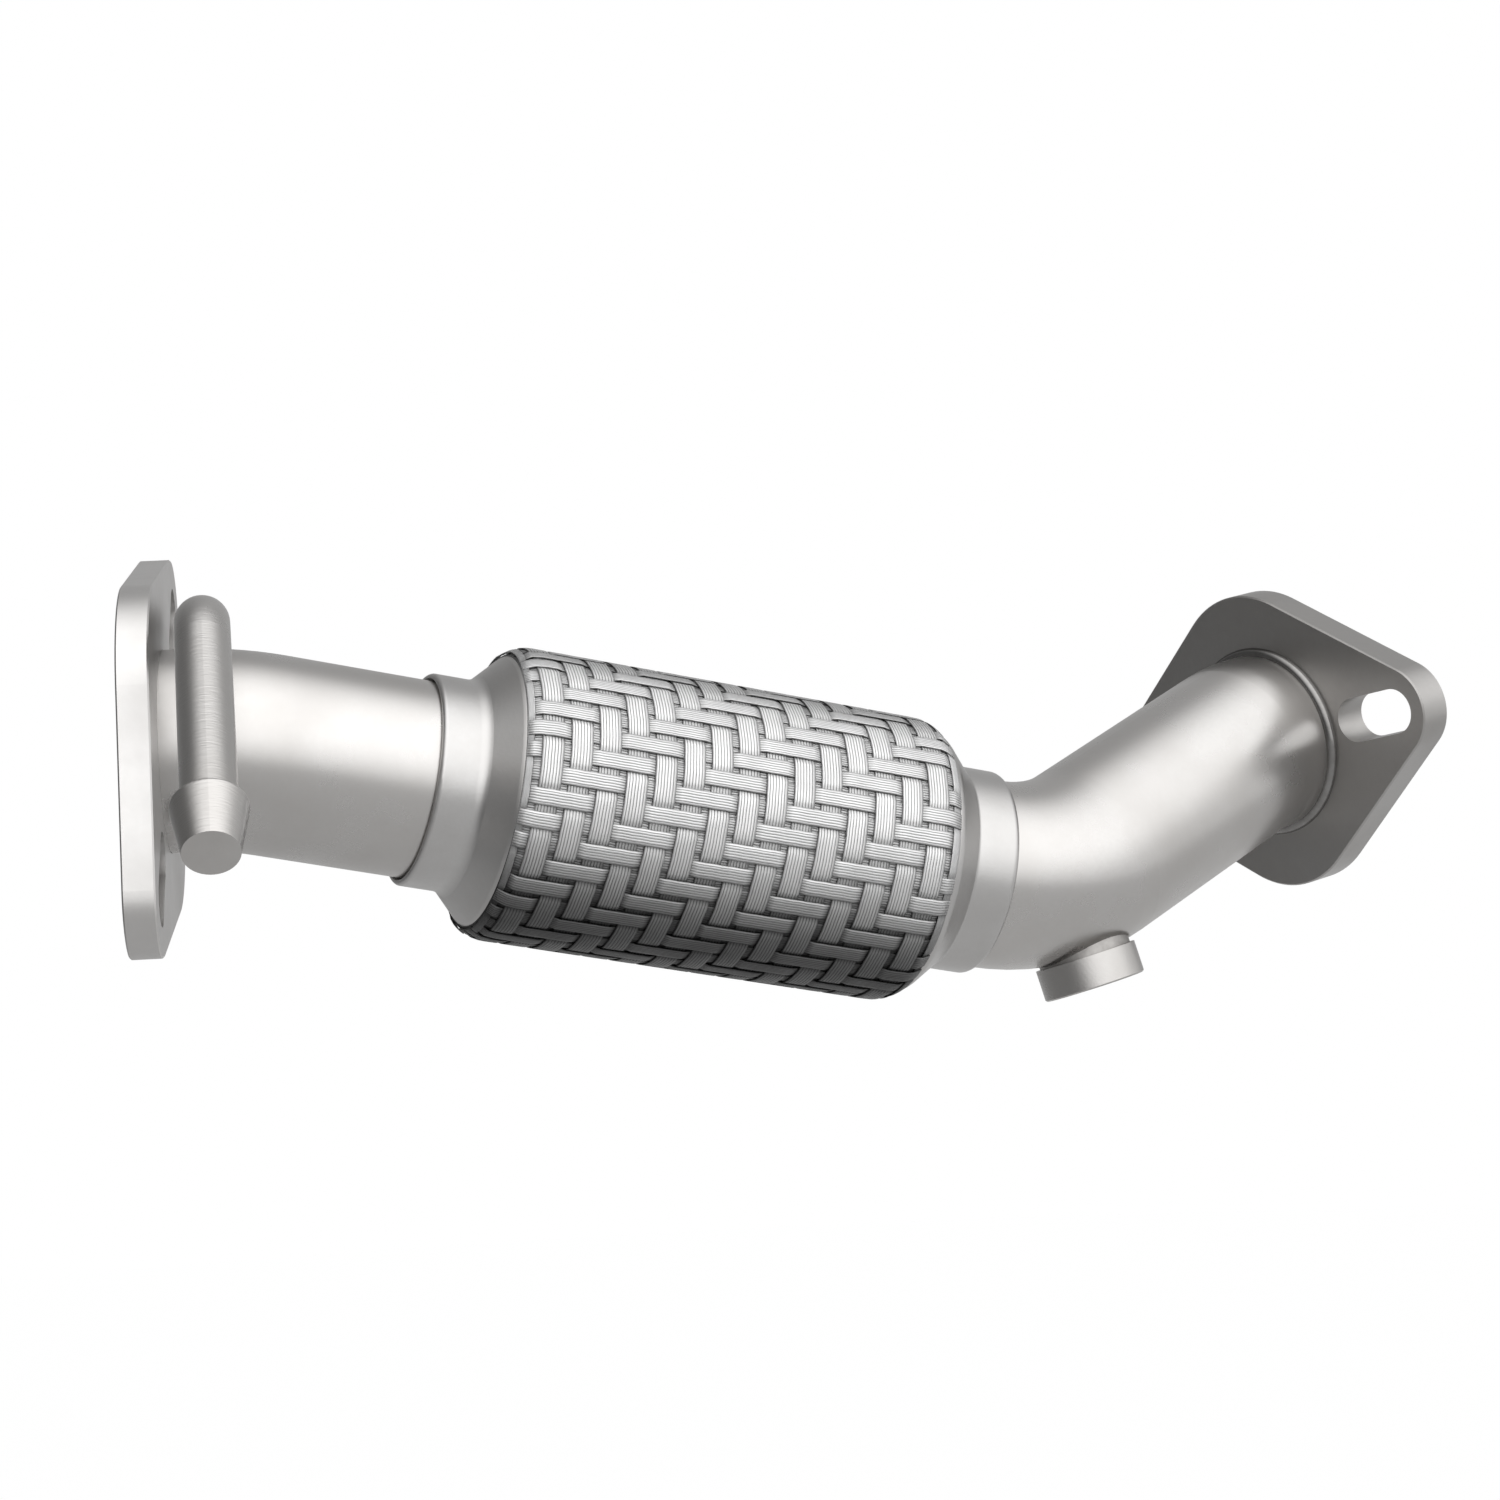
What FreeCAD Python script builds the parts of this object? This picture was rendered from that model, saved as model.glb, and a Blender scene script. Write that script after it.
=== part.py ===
import FreeCAD, Part
import math
import os

# Exhaust front pipe with a braided flexible section.
# Millimetres and degrees. The origin is the centre of the inlet flange's mating face,
# +X runs into the pipe, +Z is up and -Y is the side that carries the hanger rod.

# Tube
tube_od = 50.8
tube_wall = 1.5
seat_gap = 0.1           # clearance between pieces that slide together

# Route of the tube, from the inlet flange to the outlet flange
inlet_run = 5.35
inlet_bend_radius = 59.25
inlet_bend_angle = 19.25
inlet_roll_angle = -38.95
run_to_flex = 37.45
flex_length = 158.2
run_from_flex = 1.1      # straight tube between the outlet cap and the bend
outlet_bend_radius = 51.0
outlet_bend_angle = 39.85
outlet_roll_angle = 56.45
outlet_run = 68.65
end_bend_radius = 30.0   # the tube turns once more to meet the outlet plate squarely
end_bend_angle = 13.1
end_roll_angle = -100.35
end_run = 5.55

# Two-bolt flange plates: a diamond outline of four corner arcs, and two bolt slots
inlet_plate = 8.0
inlet_end_at = 49.2
inlet_end_radius = 14.7
inlet_side_at = 16.2
inlet_side_radius = 30.1
inlet_clock_angle = 45.4
outlet_plate = 10.0
outlet_end_at = 48.1
outlet_end_radius = 13.3
outlet_side_at = 13.9
outlet_side_radius = 28.8
outlet_clock_angle = 171.7
slot_at = 43.3
slot_length = 27.0
slot_width = 12.6
plate_bevel = 0.4
tube_short_of_face = 2.0
weld_short_of_face = 0.3
weld_leg = 2.0

# Flexible section, measured along its own axis from the lip of the inlet cap
cap_wall = 1.9
inlet_neck = 11.4
outlet_neck = 12.0
inlet_root_round = 4.0
outlet_root_round = 1.2
inlet_lip_round = 1.2
outlet_lip_round = 1.8
inlet_lip_opening = 0.6  # the inlet lip stands off the tube, the outlet one is swaged down on it
outlet_lip_opening = 0.2
cap_cone_angle = 45.0
cap_skirt_radius = 35.9
cap_skirt = 8.0
cap_shoulder_round = 5.0
inlet_edge_angle = 32.9  # how far each end of the sleeve wraps down its cap's shoulder
outlet_edge_angle = 15.6
braid_wall = 1.35        # the sleeve's wall below its raised straps
braid_relief = 0.75      # height of a strap above the gaps beside it
braid_edge = 0.4
braid_turn = 9.0         # radius by which the sleeve turns down to its edge
braid_bands = 2          # flat bands that follow that turn
weave_rows = 40
weave_columns = 15
weave_lead = 6.1         # from the sleeve's inlet edge to the middle of the first column
weave_tail = 7.2         # from the last column to the sleeve's outlet edge
weave_phase_angle = 89.4  # a row's centre, counted from up towards the rod's side
row_strap = 4.3
row_over = 1.27          # a row's strap covers two column pitches and this much more
row_shortest = 6.0       # a strap that the sleeve's end would cut shorter is left out
column_strap = 5.7
column_over_angle = 1.0  # a column's strap covers two rows and this much more
weave_repeat = 4         # rows and columns in one repeat of the two-over, two-under twill
pipe_in_cap = 18.0       # each tube ends this far inside its cap
bellows_tuck = 0.9       # the folds start this far before the outlet cap's cone ends
bellows_folds = 14
bellows_root_rise = 1.3  # above the tube
bellows_clearance = 0.6  # between a fold and the cap's skirt
bellows_slant = 0.9      # lean of a fold's side, from root to crest
bellows_wall = 0.6
bellows_cuff = 4.4       # its plain end lies on the tube for this length
liner_wall = 0.8
liner_overlap = 8.0
liner_grooves = 8
liner_groove_width = 5.0
liner_groove_depth = 0.3

# Sensor boss on the outlet bend
boss_station_angle = 26.75
boss_roll_angle = -103.15
boss_diameter = 28.0
boss_sink = 0.5          # its flat base lies this far below the tube's outermost line
boss_rise = 8.2          # and its top this far above it
boss_spigot = 22.0
spigot_reach = 1.0       # how far the spigot stands into the tube's bore
boss_bore = 16.4         # core of an M18 x 1.5 thread
boss_bevel = 0.4
boss_weld_inset = 1.2    # the weld under the boss stays this far inside its rim

# Hanger rod, welded across the top of the inlet pipe
rod_diameter = 12.7
rod_seat_x = 18.5
rod_tail = 12.0
rod_reach = 85.4
rod_yaw_angle = 4.15
rod_fall_angle = 2.3
rod_drop_angle = 42.0
rod_bend_radius = 19.0
rod_leg = 75.6
head_diameter = 17.6
head_length = 14.4
head_round = 0.8
rod_weld_length = 17.0
rod_weld_radius = 2.3
rod_weld_aside = 3.9     # from the rod's axis
rod_weld_above = 1.5     # from the tube's top

tube_r = tube_od / 2
bore_r = tube_r - tube_wall
neck_r = tube_r + seat_gap + cap_wall
boss_base = tube_r - boss_sink
boss_top = tube_r + boss_rise
braid_radius = cap_skirt_radius + seat_gap + braid_wall + braid_relief
bellows_root = tube_r + bellows_root_rise
bellows_crest = cap_skirt_radius - cap_wall - bellows_clearance
TOUCH = 0.001            # lengths shorter than this count as none
AXIS_X = FreeCAD.Vector(1, 0, 0)
AXIS_Z = FreeCAD.Vector(0, 0, 1)
HERE = FreeCAD.Vector(0, 0, 0)


def rotation(axis, angle):
    return FreeCAD.Placement(HERE, FreeCAD.Rotation(axis, angle))


def onward(place, distance):
    """The frame a distance further along its own X axis."""
    return place.multiply(FreeCAD.Placement(FreeCAD.Vector(distance, 0, 0), FreeCAD.Rotation()))


def turned(place, radius, angle, roll):
    """The frame at the end of an arc that bends towards the direction that roll gives."""
    a = math.radians(angle)
    step = FreeCAD.Vector(radius * math.sin(a), radius * (1 - math.cos(a)), 0)
    arc = FreeCAD.Placement(step, FreeCAD.Rotation(AXIS_Z, angle))
    return place.multiply(rotation(AXIS_X, roll)).multiply(arc).multiply(rotation(AXIS_X, -roll))


def placed(shape, place):
    out = shape.copy()
    out.Placement = place.multiply(out.Placement)
    return out


def rod_piece(radius, length, start=0.0):
    return Part.makeCylinder(radius, length, FreeCAD.Vector(start, 0, 0), AXIS_X)


def ring_piece(outer, inner, length, start=0.0):
    return rod_piece(outer, length, start).cut(rod_piece(inner, length, start))


def bent_piece(outer, inner, radius, angle, roll):
    """An elbow that starts at the local origin, hollow when inner is above zero."""
    face = Part.Face(Part.Wire(Part.makeCircle(outer, HERE, AXIS_X)))
    if inner > 0:
        face = face.cut(Part.Face(Part.Wire(Part.makeCircle(inner, HERE, AXIS_X))))
    elbow = face.revolve(FreeCAD.Vector(0, radius, 0), AXIS_Z, angle)
    if elbow.ShapeType == "Compound":
        elbow = elbow.Solids[0]
    return placed(elbow, rotation(AXIS_X, roll))


def arc_between(centre, radius, start, end):
    """Edge in the local YZ plane, counter-clockwise from the start angle to the end angle."""
    def spot(angle):
        return centre + FreeCAD.Vector(0, radius * math.cos(angle), radius * math.sin(angle))
    return Part.Arc(spot(start), spot((start + end) / 2), spot(end)).toShape()


def diamond_wire(end_at, end_radius, side_at, side_radius):
    """Hull of two end circles on local Y and two side circles on local Z."""
    reach = math.hypot(end_at, side_at)
    t = math.acos((side_radius - end_radius) / reach) - math.atan2(side_at, end_at)
    corners = [
        (FreeCAD.Vector(0, end_at, 0), end_radius, -t, t),
        (FreeCAD.Vector(0, 0, side_at), side_radius, t, math.pi - t),
        (FreeCAD.Vector(0, -end_at, 0), end_radius, math.pi - t, math.pi + t),
        (FreeCAD.Vector(0, 0, -side_at), side_radius, math.pi + t, 2 * math.pi - t),
    ]
    arcs = [arc_between(*corner) for corner in corners]
    edges = []
    for arc, after in zip(arcs, arcs[1:] + arcs[:1]):
        edges.append(arc)
        edges.append(Part.makeLine(arc.Vertexes[-1].Point, after.Vertexes[0].Point))
    return Part.Wire(Part.__sortEdges__(edges))


def slot_cutter(thick):
    half = (slot_length - slot_width) / 2
    slot = rod_piece(slot_width / 2, thick)
    ends = [slot.translated(FreeCAD.Vector(0, y, 0)) for y in (-half, half)]
    middle = Part.makeBox(thick, 2 * half, slot_width, FreeCAD.Vector(0, -half, -slot_width / 2))
    return middle.fuse(ends[0]).fuse(ends[1])


def flange_plate(outline, thick):
    """Plate from local X = 0 to its thickness, with its long axis on local Y."""
    plate = Part.Face(outline).extrude(FreeCAD.Vector(thick, 0, 0))
    rims = [e for e in plate.Edges if e.BoundBox.XLength < TOUCH]
    plate = plate.makeChamfer(plate_bevel, rims)
    for side in (-1, 1):
        plate = plate.cut(slot_cutter(thick).translated(FreeCAD.Vector(0, side * slot_at, 0)))
    return plate


def rounded_profile(points):
    """Open wire in the local XZ plane through (x, r, rounding) points."""
    spots = [FreeCAD.Vector(x, 0, r) for x, r, _ in points]
    edges = []
    last = spots[0]
    for i in range(1, len(spots) - 1):
        radius = points[i][2]
        back = (spots[i - 1] - spots[i]).normalize()
        ahead = (spots[i + 1] - spots[i]).normalize()
        half = back.getAngle(ahead) / 2
        if radius == 0 or abs(half - math.pi / 2) < TOUCH:
            edges.append(Part.makeLine(last, spots[i]))
            last = spots[i]
            continue
        reach = radius / math.tan(half)
        start = spots[i] + back * reach
        end = spots[i] + ahead * reach
        middle = spots[i] + (back + ahead).normalize() * (radius / math.sin(half) - radius)
        if last.distanceToPoint(start) > TOUCH:
            edges.append(Part.makeLine(last, start))
        edges.append(Part.Arc(start, middle, end).toShape())
        last = end
    edges.append(Part.makeLine(last, spots[-1]))
    return edges


def turned_solid(edges):
    """Solid of revolution about local X from a closed chain of edges."""
    face = Part.Face(Part.Wire(edges))
    solid = face.revolve(HERE, AXIS_X, 360)
    return solid if solid.ShapeType == "Solid" else Part.Solid(solid.Shells[0])


# Frames along the route: each is a place on the tube's centre line, with X along the flow
inlet_face = FreeCAD.Placement()
inlet_back = onward(inlet_face, inlet_plate)
inlet_bend = onward(inlet_back, inlet_run)
inlet_bend_end = turned(inlet_bend, inlet_bend_radius, inlet_bend_angle, inlet_roll_angle)
flex_start = onward(inlet_bend_end, run_to_flex)
flex_end = onward(flex_start, flex_length)
outlet_bend = onward(flex_end, run_from_flex)
outlet_bend_end = turned(outlet_bend, outlet_bend_radius, outlet_bend_angle, outlet_roll_angle)
end_bend = onward(outlet_bend_end, outlet_run)
end_bend_end = turned(end_bend, end_bend_radius, end_bend_angle, end_roll_angle)
outlet_back = onward(end_bend_end, end_run)
outlet_face = onward(outlet_back, outlet_plate)
flex_back = flex_end.multiply(rotation(AXIS_Z, 180))


def inlet_route(outer, inner):
    """The inlet tube, or with no inner radius the solid that its outside fills."""
    first = inlet_plate + inlet_run - tube_short_of_face
    last = run_to_flex + pipe_in_cap
    bend = bent_piece(outer, inner, inlet_bend_radius, inlet_bend_angle, inlet_roll_angle)
    parts = [
        placed(ring_or_rod(outer, inner, first), onward(inlet_face, tube_short_of_face)),
        placed(bend, inlet_bend),
        placed(ring_or_rod(outer, inner, last), inlet_bend_end),
    ]
    return parts[0].fuse(parts[1:]).removeSplitter()


def outlet_route(outer, inner):
    """The outlet tube: a large bend, a straight run and a small bend that squares it to the plate."""
    first = pipe_in_cap + run_from_flex
    last = end_run + outlet_plate - tube_short_of_face
    bend = bent_piece(outer, inner, outlet_bend_radius, outlet_bend_angle, outlet_roll_angle)
    small_bend = bent_piece(outer, inner, end_bend_radius, end_bend_angle, end_roll_angle)
    parts = [
        placed(ring_or_rod(outer, inner, first), onward(flex_end, -pipe_in_cap)),
        placed(bend, outlet_bend),
        placed(ring_or_rod(outer, inner, outlet_run), outlet_bend_end),
        placed(small_bend, end_bend),
        placed(ring_or_rod(outer, inner, last), end_bend_end),
    ]
    return parts[0].fuse(parts[1:]).removeSplitter()


def ring_or_rod(outer, inner, length):
    return ring_piece(outer, inner, length) if inner > 0 else rod_piece(outer, length)


def make_flange(outline, thick, clock_angle):
    plate = flange_plate(outline, thick)
    return placed(plate, rotation(AXIS_X, clock_angle)).cut(rod_piece(tube_r + seat_gap, thick))


def make_outer_weld():
    """Round bead between the tube and the side of the plate that faces the pipe, at local X = 0."""
    ring = Part.makeTorus(tube_r, weld_leg, HERE, AXIS_X)
    return ring.cut([rod_piece(tube_r, 2 * weld_leg, -weld_leg), rod_piece(2 * tube_r, weld_leg)])


def make_inner_weld():
    """Fillet between the end of the tube and the plate's bore, at local X = 0 of the mating face."""
    low = (tube_short_of_face, bore_r)
    high = (weld_short_of_face, tube_r + seat_gap)
    corner = (tube_short_of_face, tube_r + seat_gap)
    spots = [FreeCAD.Vector(x, 0, r) for x, r in (low, high, corner)]
    return turned_solid(Part.makePolygon(spots + spots[:1]).Edges)


def cone_end(neck):
    """Distance from a cap's lip to the corner where its cone meets its skirt."""
    return neck + (cap_skirt_radius - neck_r) / math.tan(math.radians(cap_cone_angle))


def cap_profiles(neck, root_round, lip_round, opening):
    """Outer and inner outline of a cap: neck, cone and the skirt that carries the braid."""
    corner = cone_end(neck)
    shift = cap_wall * math.tan(math.radians(cap_cone_angle / 2))
    end = corner + cap_skirt
    outer = rounded_profile([
        (0, neck_r - cap_wall + opening, 0),
        (0, neck_r, lip_round),
        (neck, neck_r, root_round),
        (corner, cap_skirt_radius, cap_shoulder_round),
        (end, cap_skirt_radius, 0),
    ])
    inner = rounded_profile([
        (0, neck_r - cap_wall + opening, 0),
        (2 * opening, neck_r - cap_wall, 0),
        (neck + shift, neck_r - cap_wall, root_round + cap_wall),
        (corner + shift, cap_skirt_radius - cap_wall, cap_shoulder_round - cap_wall),
        (end, cap_skirt_radius - cap_wall, 0),
    ])
    return outer, inner


def make_cap(neck, root_round, lip_round, opening):
    outer, inner = cap_profiles(neck, root_round, lip_round, opening)
    rim = Part.makeLine(outer[-1].Vertexes[-1].Point, inner[-1].Vertexes[-1].Point)
    return turned_solid(Part.__sortEdges__(outer + inner + [rim]))


def shoulder_centre(neck):
    """Where the cap's shoulder round has its centre: distance from the lip, and radius."""
    reach = cap_shoulder_round * math.tan(math.radians(cap_cone_angle / 2))
    return cone_end(neck) + reach, cap_skirt_radius - cap_shoulder_round


def shoulder_outline(centre, edge_angle, way):
    """Inside and outside of one end of the sleeve, drawn over the cap's shoulder, edge first."""
    cx, cr = centre
    inner_r = cap_shoulder_round + seat_gap
    inner_angle = math.radians(edge_angle)
    edge = cx - way * inner_r * math.sin(inner_angle)
    tip = cr + inner_r * math.cos(inner_angle) + braid_edge
    floor = braid_radius - braid_relief
    outer_angle = math.acos(1 - (floor - tip) / braid_turn)
    ox = edge + way * braid_turn * math.sin(outer_angle)

    def bow(x, r, radius, angle):
        steps = [angle * (braid_bands - k) / braid_bands for k in range(braid_bands + 1)]
        return [FreeCAD.Vector(x - way * radius * math.sin(a), 0, r + radius * math.cos(a)) for a in steps]

    return bow(cx, cr, inner_r, inner_angle), bow(ox, floor - braid_turn, braid_turn, outer_angle)


def make_braid():
    """Woven wire sleeve: one wall, with the straps that lie on top standing out of it."""
    left_in, left_out = shoulder_outline(shoulder_centre(inlet_neck), inlet_edge_angle, 1)
    x, r = shoulder_centre(outlet_neck)
    right_in, right_out = shoulder_outline((flex_length - x, r), outlet_edge_angle, -1)
    loop = left_out + right_out[::-1] + right_in + left_in[::-1]
    sleeve = turned_solid(Part.makePolygon(loop + loop[:1]).Edges)
    return sleeve.multiFuse(weave_straps(left_out, right_out)).removeSplitter()


def strap(start, end, angle, facets, turn):
    """A raised strap of flat facets, with its middle turned from up towards the rod's side."""
    low = braid_radius - 2 * braid_relief
    spread = [turn + angle * (k / facets - 0.5) for k in range(facets + 1)]
    rim = [(braid_radius, a) for a in spread] + [(low, a) for a in reversed(spread)]
    around = [(r, math.radians(a)) for r, a in rim]
    spots = [FreeCAD.Vector(start, -r * math.sin(a), r * math.cos(a)) for r, a in around]
    return Part.Face(Part.makePolygon(spots + spots[:1])).extrude(FreeCAD.Vector(end - start, 0, 0))


def weave_straps(left, right):
    """Two-over, two-under twill that steps one column for each row, between two turned-down ends."""
    first = left[-1].x
    last = right[-1].x
    weave_first = left[0].x + weave_lead
    weave_pitch = (right[0].x - weave_tail - weave_first) / (weave_columns - 1)
    row_float = 2 * weave_pitch + row_over
    row_angle = 360.0 / weave_rows
    column_float = 2 * row_angle + column_over_angle
    strap_angle = math.degrees(row_strap / braid_radius)
    straps = []
    for row in range(weave_rows):
        turn = weave_phase_angle - row * row_angle
        for column in range(-2, weave_columns + 1):
            centre = weave_first + column * weave_pitch
            if (column - row) % weave_repeat == 0:
                start = max(first, centre + (weave_pitch - row_float) / 2)
                end = min(last, centre + (weave_pitch + row_float) / 2)
                if end - start > row_shortest:
                    straps.append(strap(start, end, strap_angle, 1, turn))
            if (column - row) % weave_repeat == weave_repeat - 1 and 0 <= column < weave_columns:
                half = column_strap / 2
                straps.append(strap(centre - half, centre + half, column_float, 2, turn - row_angle / 2))
    return straps


def bellows_outline(grow):
    """One side of the bellows' wall, from cuff to cuff: grow is 0 inside and the wall outside."""
    cuff = tube_r + seat_gap + grow
    low = bellows_root + grow
    high = bellows_crest - bellows_wall + grow
    bellows_start = cone_end(outlet_neck) - bellows_tuck
    pitch = (flex_length - 2 * bellows_start) / bellows_folds
    foot = pitch / 4 + bellows_slant / 2 + grow - bellows_wall / 2
    head = foot - bellows_slant
    points = []
    for fold in range(bellows_folds):
        middle = bellows_start + (fold + 0.5) * pitch
        points += [(middle - foot, low), (middle - head, high), (middle + head, high), (middle + foot, low)]
    points[0] = (points[0][0], cuff)
    points[-1] = (points[-1][0], cuff)
    end = pipe_in_cap - bellows_cuff
    points = [(end, cuff), *points, (flex_length - end, cuff)]
    return [FreeCAD.Vector(x, 0, r) for x, r in points]


def make_bellows():
    """Thin corrugated tube that keeps the gas in, with a plain cuff at each end."""
    inner = bellows_outline(0)
    outer = bellows_outline(bellows_wall)
    return turned_solid(Part.makePolygon(outer + inner[::-1] + outer[:1]).Edges)


def make_liner():
    """Interlocked gas liner, slid into both tube ends, with its outer grooves."""
    outer = bore_r - seat_gap
    start = pipe_in_cap - liner_overlap
    length = flex_length - 2 * start
    liner = ring_piece(outer, outer - liner_wall, length, start)
    span = (flex_length - 2 * pipe_in_cap) / liner_grooves
    for i in range(liner_grooves):
        x = pipe_in_cap + (i + 0.5) * span - liner_groove_width / 2
        liner = liner.cut(ring_piece(outer, outer - liner_groove_depth, liner_groove_width, x))
    return liner


# The boss points square out of the bend
boss_place = turned(outlet_bend, outlet_bend_radius, boss_station_angle, outlet_roll_angle)
boss_place = boss_place.multiply(rotation(AXIS_X, boss_roll_angle)).multiply(rotation(AXIS_Z, 90))


def make_boss(tube_outside):
    body = rod_piece(boss_diameter / 2, boss_top - boss_base, boss_base)
    rims = [e for e in body.Edges if e.BoundBox.XMin > boss_top - TOUCH]
    body = placed(body.makeChamfer(boss_bevel, rims), boss_place).cut(tube_outside)
    inside = bore_r - spigot_reach
    spigot = rod_piece(boss_spigot / 2, boss_top - inside, inside)
    bore = rod_piece(boss_bore / 2, boss_top)
    return body.fuse(placed(spigot, boss_place)).cut(placed(bore, boss_place)).removeSplitter()


def make_boss_weld(tube_outside):
    depth = boss_base - bore_r / 2
    fill = ring_piece(boss_diameter / 2 - boss_weld_inset, boss_spigot / 2, depth, boss_base - depth)
    return placed(fill, boss_place).cut(tube_outside)


# The rod runs across the top of the inlet tube towards -Y, then drops
rod_r = rod_diameter / 2
rod_seat = FreeCAD.Placement(FreeCAD.Vector(rod_seat_x, 0, tube_r + rod_r),
                             FreeCAD.Rotation(AXIS_Z, rod_yaw_angle - 90))
rod_seat = rod_seat.multiply(rotation(FreeCAD.Vector(0, 1, 0), rod_fall_angle))


def make_rod():
    turn = rod_drop_angle - rod_fall_angle
    reach = rod_bend_radius * math.tan(math.radians(turn / 2))
    bend = onward(rod_seat, rod_reach - reach)
    leg = turned(bend, rod_bend_radius, turn, -90)
    shank = rod_leg - reach - head_length
    head = Part.makeCone(head_diameter / 2, rod_r, head_length, HERE, AXIS_X)
    head = head.makeFillet(head_round, [e for e in head.Edges if e.BoundBox.XMax < TOUCH])
    pieces = [
        placed(rod_piece(rod_r, rod_tail + rod_reach - reach, -rod_tail), rod_seat),
        placed(bent_piece(rod_r, 0, rod_bend_radius, turn, -90), bend),
        placed(rod_piece(rod_r, shank + head_length / 2), leg),
        placed(head, onward(leg, shank)),
    ]
    return pieces[0].fuse(pieces[1:]).removeSplitter()


def make_rod_weld(rod, tube_outside):
    """A bead on each side of the rod, in the corner between it and the tube."""
    beads = []
    for side in (-1, 1):
        bead = rod_piece(rod_weld_radius, rod_weld_length, -rod_weld_length / 2)
        bead.translate(FreeCAD.Vector(0, side * rod_weld_aside, rod_weld_above - rod_r))
        beads += placed(bead, rod_seat).cut([rod, tube_outside]).Solids
    return Part.makeCompound(beads)


def build():
    inlet_outside = inlet_route(tube_r, 0)
    outlet_outside = outlet_route(tube_r, 0)
    boss_hole = placed(rod_piece(boss_spigot / 2, boss_base, bore_r / 2), boss_place)
    inlet_cap = make_cap(inlet_neck, inlet_root_round, inlet_lip_round, inlet_lip_opening)
    outlet_cap = make_cap(outlet_neck, outlet_root_round, outlet_lip_round, outlet_lip_opening)
    inlet_diamond = diamond_wire(inlet_end_at, inlet_end_radius, inlet_side_at, inlet_side_radius)
    outlet_diamond = diamond_wire(outlet_end_at, outlet_end_radius, outlet_side_at, outlet_side_radius)
    outlet_plate_solid = make_flange(outlet_diamond, outlet_plate, outlet_clock_angle)
    rod = make_rod()
    return {
        "inlet_flange": make_flange(inlet_diamond, inlet_plate, inlet_clock_angle),
        "inlet_flange_weld": make_inner_weld(),
        "inlet_pipe": inlet_route(tube_r, bore_r),
        "hanger_rod": rod,
        "hanger_rod_weld": make_rod_weld(rod, inlet_outside),
        "flex_inlet_cap": placed(inlet_cap, flex_start),
        "flex_outlet_cap": placed(outlet_cap, flex_back),
        "flex_braid": placed(make_braid(), flex_start),
        "flex_bellows": placed(make_bellows(), flex_start),
        "flex_liner": placed(make_liner(), flex_start),
        "outlet_pipe": outlet_route(tube_r, bore_r).cut(boss_hole),
        "sensor_boss": make_boss(outlet_outside),
        "sensor_boss_weld": make_boss_weld(outlet_outside),
        "outlet_flange": placed(outlet_plate_solid, outlet_back),
        "outlet_flange_weld": placed(make_outer_weld(), outlet_back),
    }


os.makedirs("parts", exist_ok=True)
for name, shape in build().items():
    shape.exportStep("parts/" + name + ".step")
    print(name, len(shape.Solids), "solid(s)", round(shape.Volume), "mm3", shape.isValid())
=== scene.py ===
# %% [markdown]
# # Exhaust front pipe
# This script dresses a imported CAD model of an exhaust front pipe: two flange plates, a bent
# tube at each end and, between them, a flexible section under a woven wire sleeve.
# The CAD model is the frame. Its parts stay where they are, and the script adds what CAD
# leaves plain: the woven wire, the screw thread, the finishes, the floor and the light.

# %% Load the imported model
import math

import bmesh
import bpy
from mathutils import Matrix, Vector


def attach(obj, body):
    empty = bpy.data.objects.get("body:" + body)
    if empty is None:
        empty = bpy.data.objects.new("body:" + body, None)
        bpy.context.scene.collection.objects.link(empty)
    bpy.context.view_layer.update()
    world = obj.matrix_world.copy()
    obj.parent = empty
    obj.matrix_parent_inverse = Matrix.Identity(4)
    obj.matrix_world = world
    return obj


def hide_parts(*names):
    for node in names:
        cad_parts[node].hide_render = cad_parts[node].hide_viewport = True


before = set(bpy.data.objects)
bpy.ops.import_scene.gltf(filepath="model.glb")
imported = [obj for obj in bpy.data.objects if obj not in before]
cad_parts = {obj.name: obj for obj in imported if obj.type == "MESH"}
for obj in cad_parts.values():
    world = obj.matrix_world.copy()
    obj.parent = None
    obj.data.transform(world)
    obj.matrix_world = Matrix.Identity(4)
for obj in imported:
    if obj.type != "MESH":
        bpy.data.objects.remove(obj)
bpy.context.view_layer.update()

MM = 0.001
print("frame:", len(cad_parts), "nodes")

# %% [markdown]
# ## The route of the tube
# A bent tube is drawn as a chain of straight runs and arcs, the way a tube bender makes it:
# push forward, turn the tube about its own axis, bend. Each place on the chain is a matrix
# whose X axis runs along the tube. It could be measured from the model's meshes, but the same
# few driving numbers as in the CAD source give it exactly. Two places on it carry new pieces:
# the start of the flexible section and the middle of the sensor boss.

# %% Follow the route


def onward(place, distance):
    return place @ Matrix.Translation((distance * MM, 0, 0))


def turned(place, radius, angle, roll):
    """The place at the end of an arc, bent towards the direction that roll gives."""
    a, r = math.radians(angle), math.radians(roll)
    step = Matrix.Translation((radius * MM * math.sin(a), radius * MM * (1 - math.cos(a)), 0))
    arc = step @ Matrix.Rotation(a, 4, "Z")
    return place @ Matrix.Rotation(r, 4, "X") @ arc @ Matrix.Rotation(-r, 4, "X")


INLET_RUN = 13.35
INLET_BEND_RADIUS, INLET_BEND_ANGLE, INLET_BEND_ROLL = 59.25, 19.25, -38.95
RUN_TO_FLEX = 37.45
FLEX_LENGTH = 158.2
RUN_TO_OUTLET_BEND = 1.1
OUTLET_BEND_RADIUS, OUTLET_BEND_ROLL = 51.0, 56.45
BOSS_ANGLE, BOSS_ROLL = 26.75, -103.15

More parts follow.
